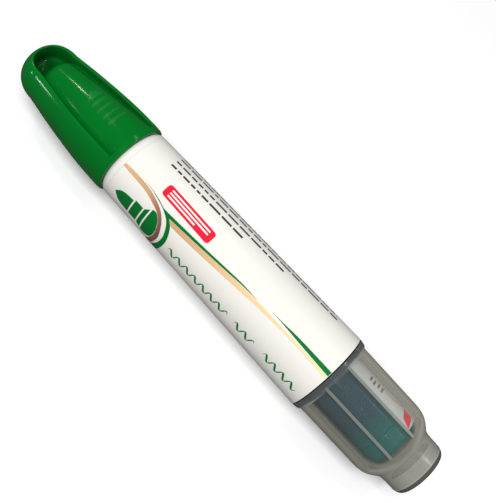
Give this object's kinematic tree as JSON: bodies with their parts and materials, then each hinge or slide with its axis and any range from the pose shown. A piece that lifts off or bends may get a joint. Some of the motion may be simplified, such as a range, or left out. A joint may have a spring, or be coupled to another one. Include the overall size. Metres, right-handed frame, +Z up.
{
  "type": "dry-wipe marker",
  "caption": "Refillable dry-wipe board marker, white barrel, green cap with hooded sheath, clear screw-off tail over an ink cartridge",
  "frame": {"origin": "under the middle of the pen's length, on the surface that it lies on", "axes": "+X from the capped writing tip to the tail, +Y across, +Z up; the pen's axis is parallel to X at 10.449 mm height"},
  "size_m": [0.1286, 0.0208, 0.0209],
  "materials": {
    "cap_green": "glossy green",
    "barrel_white": "satin white",
    "label_film": "printed shrink film, satin",
    "frosted_plastic": "frosted translucent grey",
    "clear_plastic": "clear",
    "inner_white": "moulded white",
    "inked_fibre": "pressed fibre, inked green",
    "ink": "green ink",
    "rubber": "black rubber",
    "steel": "stainless steel",
    "sticker_paper": "white paper label"
  },
  "bodies": {
    "barrel": {"front_barrel": "barrel_white", "label_sleeve": "label_film", "nib_holder": "inner_white", "bullet_nib": "inked_fibre", "ink_wick": "inked_fibre", "feed_comb": "inner_white", "feed_housing": "clear_plastic", "cartridge_socket": "inner_white", "ink_spike": "steel", "socket_o_ring": "rubber"},
    "inner_cap": {"inner_cap": "inner_white"},
    "cap": {"cap_shell": "cap_green"},
    "cartridge": {"cartridge_tube": "clear_plastic", "cartridge_end_plug": "clear_plastic", "cartridge_sticker": "sticker_paper", "cartridge_ink": "ink", "cartridge_seal": "rubber", "stopper_ball": "steel"},
    "rear_shell": {"rear_shell": "frosted_plastic", "tail_plug": "frosted_plastic"}
  },
  "joints": [
    {"name": "cap_pull", "type": "slide", "parent": "barrel", "child": "inner_cap", "axis": [-1, 0, 0], "range_m": [0, 0.04]},
    {"name": "cap_turn", "type": "hinge", "parent": "inner_cap", "child": "cap", "pos_m": [-0.045, 0, 0.01045], "axis": [1, 0, 0], "continuous": true},
    {"name": "cartridge_draw", "type": "slide", "parent": "barrel", "child": "cartridge", "axis": [1, 0, 0], "range_m": [0, 0.00481]},
    {"name": "shell_turn", "type": "hinge", "parent": "cartridge", "child": "rear_shell", "pos_m": [0.045, 0, 0.01045], "axis": [1, 0, 0], "range_deg": [0, 720]}
  ],
  "couplings": [
    {"joint": "cartridge_draw", "follows": "shell_turn", "m_per_rad": 0.00038197}
  ]
}
